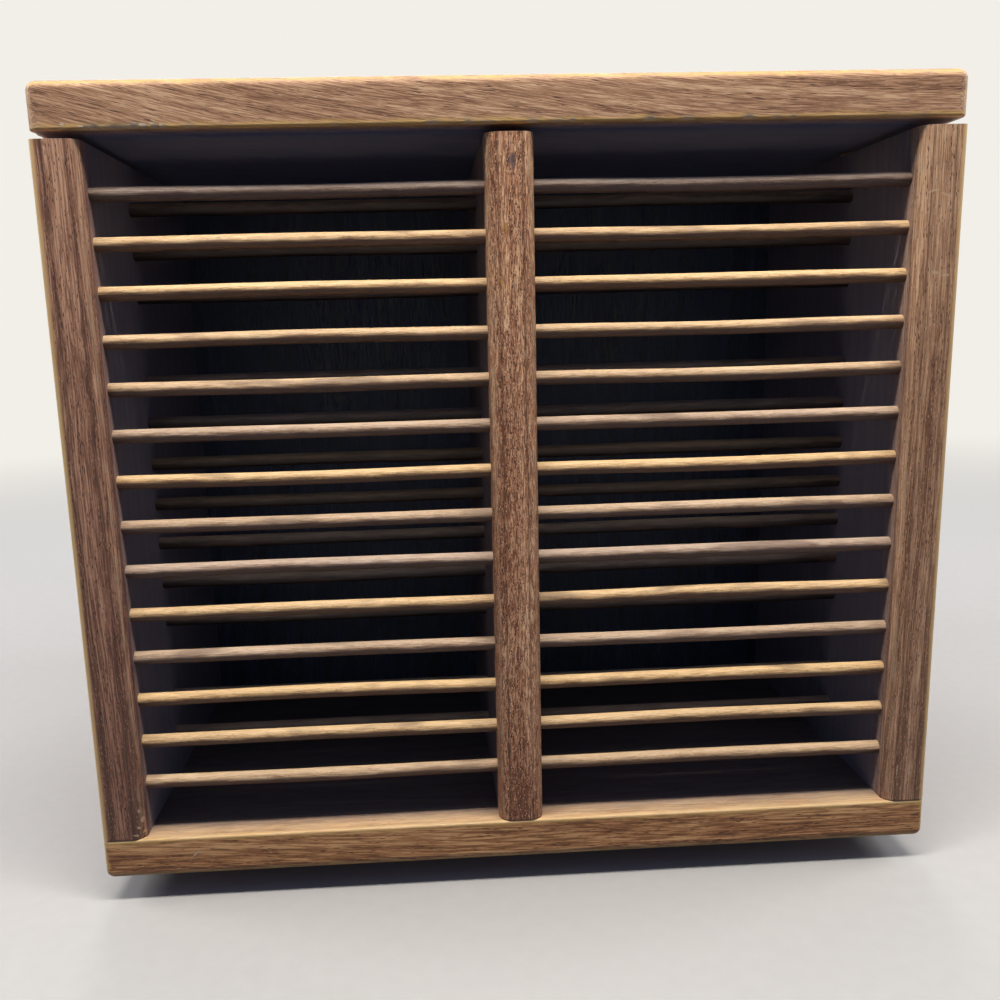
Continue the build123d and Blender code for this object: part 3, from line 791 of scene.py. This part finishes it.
# Painted shade on the inner walls of the side panels: its colour and its share.
WALL_PAINTED_SHADE = ("#84879b", 0.85)
CORNER_SPECKS = [
    ((-137.0, 32), (0.7, 5, 1.3), 0, 0.8, SCRATCH),
    ((-138.2, 29), (0.9, 5, 0.6), 0, 0.8, SCRATCH),
    ((-136.6, 27), (0.6, 5, 1.1), 0, 0.8, SCRATCH),
    ((-139.4, 26.2), (1.1, 5, 0.5), 0, 0.7, SCRATCH),
    ((-137.8, 35.5), (0.5, 5, 0.9), 0, 0.7, SCRATCH),
]
SCRATCHES = [
    ((140.2, 36.6), (0.35, 3, 3.2), -4, 0.8, SCRATCH),
    ((141, 243), (2.6, 3, 0.5), 14, 0.7, SCRATCH),
    ((145, 241.6), (2.6, 3, 0.45), -20, 0.7, SCRATCH),
    ((143, 216.5), (1.5, 3, 0.7), -8, 0.8, SCRATCH),
    ((146.5, 215.6), (2.0, 3, 0.5), 6, 0.8, SCRATCH),
]
left_wood = stained_oak("left_panel_oak", "z", (-60, 70), 4.8, RED, 3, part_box("left_side_panel"), lean=1,
                        wander=12, worn=HANDLED, inside=WALL_PAINTED_SHADE, painted_top_light=0.24, pore=(3.2, 0.6, 0.36),
                        fibre=(14, 0.45, 0.45), band=(240, 3.2, 1.0), fleck=(2.2, 0.55, 0.6),
                        marks=CORNER_SPECKS)
right_wood = stained_oak("right_panel_oak", "z", (-20, -90), 4.2, BROWN, 4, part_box("right_side_panel"),
                         lean=-1, wander=12, worn=HANDLED, inside=WALL_PAINTED_SHADE, painted_top_light=0.38,
                         pore=(3.2, 0.6, 0.34), fibre=(12, 0.45, 0.42), band=(220, 3.2, 0.9),
                         fleck=(2.2, 0.55, 0.6), marks=SCRATCHES)
give(left_wood, "left_side_panel")
give(right_wood, "right_side_panel")

# %% [markdown]
# The dividers were cut so that the tree's rays face the viewer. That is why they look peppered, with
# short dark and pale flecks side by side. The front one has a dark spot and two yellow ones.

# %% Wood of the dividers
DIVIDER = ("#301a12", "#70442f", "#a36e4f", "#c79471", "#f4cca2")
DARK_SPOT, YELLOW = "#4b4450", "#b98c3c"
DIVIDER_SPOTS = [
    ((0.6, 254.9), (1.8, 5, 3.0), 0, 0.65, DARK_SPOT),
    ((-1.8, 233.9), (0.8, 4, 1.7), 0, 0.7, YELLOW),
    ((-3.4, 216.5), (0.7, 4, 1.5), 0, 0.7, YELLOW),
]
PEPPERED = dict(wander=10, worn=HANDLED, painted_top_light=0.26, pore=(1.6, 0.62, 0.4), fibre=(4, 0.45, 0.5),
                fleck=(1.5, 0.6, 0.95))
front_divider_wood = stained_oak("front_divider_oak", "z", (-170, 6), 6.0, DIVIDER, 5,
                                 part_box("front_divider"), marks=DIVIDER_SPOTS, **PEPPERED)
back_divider_wood = stained_oak("back_divider_oak", "z", (190, -4), 6.0, DIVIDER, 6,
                                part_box("back_divider"), **PEPPERED)
give(front_divider_wood, "front_divider")
give(back_divider_wood, "back_divider")

# %% [markdown]
# The core panel's wood colour is nearly black, a painted shade so that the bays end in the dark.
# The outer rods are a pale hardwood that was only lightly stained. The rods further in are the same
# wood, darkened as painted shade behind the outer rods.

# %% Painted shade on the core panel and the inner rods, and the outer rods
# Nearly black wood colour for the core panel: painted shade at the back of the bays.
CORE_PAINTED_SHADE = ("#0b0f1a", "#141a2b", "#1d263e", "#293350", "#3a4663")
TAN = ("#543e2e", "#a48a6c", "#c9ad8b", "#e2caa8", "#f6e6cc")
# Darker colours for the inner rods: painted shade behind the outer rods.
INNER_ROD_SHADE = ("#25201f", "#3c3434", "#504645", "#665957", "#7f7170")
# A rod's painted shade colour below, its greyest and its warmest hue, and its blotches.
ROD_SHADE_AND_TONES = ("#76666a", "#d2ccd6", "#ffedca", "#5b4338")
core_shade_wood = stained_oak("core_painted_shade", "z", (-300, 60), 7.0, CORE_PAINTED_SHADE, 7, wander=30)
outer_rod_wood = stained_oak("outer_rod_wood", "x", (9, -11), 3.2, TAN, 8, wander=3, rod=ROD_SHADE_AND_TONES,
                             pore=(2.6, 0.45, 0.3), depth=0.75, fibre=(6, 0.32, 0.5),
                             band=(40, 2.0, 0.5), fleck=(2.4, 0.45, 0.45), rough=0.48)
inner_rod_wood = stained_oak("inner_rod_wood", "x", (9, -11), 3.2, INNER_ROD_SHADE, 9, wander=3, rod=ROD_SHADE_AND_TONES,
                             pore=(3.4, 0.5, 0.26), depth=0.5, fibre=(9, 0.4, 0.4), band=(60, 2.5, 0.7),
                             rough=0.48)
give(core_shade_wood, "core_panel")
give(outer_rod_wood, *[rod for rod in rod_pieces if "inner" not in rod.name])
give(inner_rod_wood, *[rod for rod in rod_pieces if "inner" in rod.name])

# %% [markdown]
# The joint pins are beech: pale, close-grained, with short dark flecks where its rays are cut. They
# show only in the thin shadow gap under the top board.

# %% Beech pins
BEECH = ("#8a6443", "#b68d66", "#c99f77", "#d6b08a", "#e3c4a2")
beech = stained_oak("beech", "z", (12, 30), 2.6, BEECH, 10, wander=2, pore=(1.8, 0.45, 0.24), depth=0.6,
                    fibre=(8, 0.3, 0.3), band=(70, 2.0, 0.5), rough=0.55)
give(beech, "joint_pins")

# %% [markdown]
# ## Metal, nylon and rubber
#
# The swivel is stamped from zinc-plated sheet: grey, half bright, with faint rolling lines and a
# cloudy plating. Its balls are ground and polished, so they mirror what is round them. Cage and
# washer are moulded nylon, milky and a little uneven, and the feet are matt rubber that holds dust.
# One function makes all of them, because they differ only in their numbers: two colours that patches
# of a given size move between, fine lines or grains that roughen the surface, and a dust colour.

# %% Materials of the swivel
GREY_DUST = "#8c8880"


def stuff(name, colours, metal, rough, patch, line, relief, dust=0.0):
    """A metal, plastic or rubber. patch is the size of its cloudy patches and line the length and
    width of its fine marks, along x, in millimetres. relief is the marks' height in millimetres."""
    material, tree = new_material(name)
    place = add(tree, "Mapping", {"Vector": add(tree, "TexCoord", out="Object"),
                                  "Scale": (1000, 1000, 1000)})
    cloud = stretched(tree, place, patch, patch, Detail=3.0, Roughness=0.6)
    cloud = add(tree, "MapRange", {"Value": cloud, "From Min": 0.35, "From Max": 0.65})
    marks = stretched(tree, place, line[0], line[1], Detail=2.0, Roughness=0.6)
    colour = cover(tree, paint(colours[0]), (cloud, paint(colours[1])))
    if dust:
        grains = stretched(tree, place, 2.5, 2.5, Detail=4.0, Roughness=0.75)
        settled = add(tree, "MapRange", {"Value": grains, "From Min": 0.48, "From Max": 0.72,
                                         "To Max": dust})
        colour = cover(tree, colour, (settled, paint(GREY_DUST)))
    gloss = add(tree, "Math", {0: cloud, 1: 0.08, 2: rough - 0.04}, operation="MULTIPLY_ADD")
    gloss = nudge(tree, gloss, marks, 0.22)
    bump = add(tree, "Bump", {"Strength": 0.6, "Distance": relief * MM, "Height": marks}, out="Normal")
    shader = add(tree, "BsdfPrincipled", {"Base Color": colour, "Metallic": metal, "Roughness": gloss,
                                          "Normal": bump})
    tree.links.new(shader, tree.nodes.new("ShaderNodeOutputMaterial").inputs["Surface"])
    return material


# Rolling lines are 0.02 mm wide on the real sheet, too fine to show, so they are drawn 0.3 mm wide.
zinc_plated_sheet = stuff("zinc_plated_sheet", ("#b9bcbd", "#a3a6a9"), metal=1.0, rough=0.36, patch=14,
                          line=(60, 0.3), relief=0.02, dust=0.25)
zinc_plated_screw = stuff("zinc_plated_screw", ("#c4c2b8", "#aaa9a2"), metal=1.0, rough=0.30, patch=3,
                          line=(0.6, 0.3), relief=0.02)
polished_steel = stuff("polished_ball_steel", ("#cfd1d3", "#c2c4c6"), metal=1.0, rough=0.14, patch=4,
                       line=(1.5, 0.12), relief=0.003)
moulded_nylon = stuff("moulded_nylon", ("#e2ded2", "#d3cebf"), metal=0.0, rough=0.46, patch=9,
                      line=(2.0, 1.2), relief=0.03, dust=0.2)
matt_rubber = stuff("matt_rubber", ("#1d1d1f", "#2b2a2b"), metal=0.0, rough=0.74, patch=3,
                    line=(0.35, 0.35), relief=0.05, dust=0.55)
give(zinc_plated_sheet, "swivel_upper_plate", "swivel_lower_plate", "swivel_rivet")
give(zinc_plated_screw, "case_screws", "plate_screws")
give(polished_steel, "swivel_balls")
give(moulded_nylon, "ball_cage", "swivel_washer")
give(matt_rubber, "rubber_feet")
bare_nodes = [n for n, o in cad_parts.items() if not o.hide_render and not any(o.data.materials)]
print("nodes without a material:", bare_nodes)

# %% [markdown]
# ## Studio
#
# A pale floor fades into a pale background, so no horizon crosses the picture from any side. The
# main lamp hangs over the rack and a little in front of it: it lights the tops of the rods and the
# front faces at a slant, and the rods shade the bays behind them like a blind. Weaker lamps do the
# same for the back and the sides, and a bluish sky fills in softly. To the camera the floor is pale,
# but the light that bounces off it is dim and bluish, so that the undersides stay dark.

# %% Floor
FLOOR_HALF = 6.0
FADE_FROM, FADE_TO = 0.35, 1.5
PALE = "#f2efe8"
FLOOR_SEEN = ("#b2b3b3", "#babbbb")
FLOOR_BOUNCE = "#363e4e"


def seen_share(tree):
    """1 for what the camera sees, also in metal and through glass, and 0 for light on the rack."""
    rays = add(tree, "LightPath", out=None).outputs
    seen = add(tree, "Math", {0: rays["Is Camera Ray"], 1: rays["Is Glossy Ray"]}, operation="ADD")
    return add(tree, "Math", {0: seen, 1: rays["Is Transmission Ray"]}, operation="ADD", use_clamp=True)


reach = np.array([-FLOOR_HALF, FLOOR_HALF])
points = np.array([(x, y, 0) for y in reach for x in reach])
floor = make_piece("studio_floor", points, [(0, 1, 3, 2)], smooth=False)
floor_paint, tree = new_material("floor_paint")
seen = seen_share(tree)
place = add(tree, "TexCoord", out="Object")
mottle = add(tree, "TexNoise", {"Vector": place, "Scale": 160.0, "Detail": 3.0}, out="Fac")
pale = cover(tree, paint(FLOOR_SEEN[0]), (mottle, paint(FLOOR_SEEN[1])))
base = cover(tree, paint(FLOOR_BOUNCE), (seen, pale))
shader = add(tree, "BsdfPrincipled", {"Base Color": base, "Roughness": 0.6})
glow = add(tree, "Emission", {"Color": paint(PALE), "Strength": seen})
away = add(tree, "VectorMath", {0: place}, out="Value", operation="LENGTH")
far = add(tree, "MapRange", {"Value": away, "From Min": FADE_FROM, "From Max": FADE_TO},
          interpolation_type="SMOOTHSTEP")
surface = add(tree, "MixShader", {0: far, 1: shader, 2: glow})
tree.links.new(surface, tree.nodes.new("ShaderNodeOutputMaterial").inputs["Surface"])
give(floor_paint, floor)

# %% Lamps and sky
MIDDLE = (0, 0, 0.14)
FRONT_EDGE = (0, -0.2, 0.14)
WARM, NEUTRAL, SKY_BLUE = "#fff6ea", "#fffaf4", "#a8c0ff"
SKY_STRENGTH = 0.19


def hang_lamp(name, place, target, size, watts, colour):
    """A rectangular soft lamp at place, turned to face target."""
    lamp = bpy.data.lights.new(name, "AREA")
    lamp.shape = "RECTANGLE"
    lamp.size, lamp.size_y = size
    lamp.energy = watts
    lamp.color = paint(colour)[:3]
    holder = bpy.data.objects.new(name, lamp)
    holder.visible_camera = False
    facing = (Vector(target) - Vector(place)).to_track_quat("-Z", "Y").to_matrix().to_4x4()
    holder.matrix_world = Matrix.Translation(place) @ facing
    bpy.context.scene.collection.objects.link(holder)
    print(f"{name}: {watts} W")


hang_lamp("top_lamp", (0, -0.325, 0.8), FRONT_EDGE, (0.8, 0.1), 7.8, WARM)
hang_lamp("back_lamp", (0, 1.0, 0.9), MIDDLE, (1.0, 0.6), 9, NEUTRAL)
hang_lamp("left_lamp", (-1.1, 0.05, 0.85), MIDDLE, (0.5, 0.6), 8, NEUTRAL)
hang_lamp("right_lamp", (1.1, 0.05, 0.85), MIDDLE, (0.5, 0.6), 8, NEUTRAL)

world = bpy.data.worlds.new("studio")
bpy.context.scene.world = world
world.use_nodes = True
tree = world.node_tree
tree.nodes.clear()
seen = seen_share(tree)
power = add(tree, "MapRange", {"Value": seen, "To Min": SKY_STRENGTH})
tint = cover(tree, paint(SKY_BLUE), (seen, paint(PALE)))
sky = add(tree, "Background", {"Color": tint, "Strength": power})
tree.links.new(sky, tree.nodes.new("ShaderNodeOutputWorld").inputs["Surface"])
bpy.context.scene.view_settings.view_transform = "Standard"
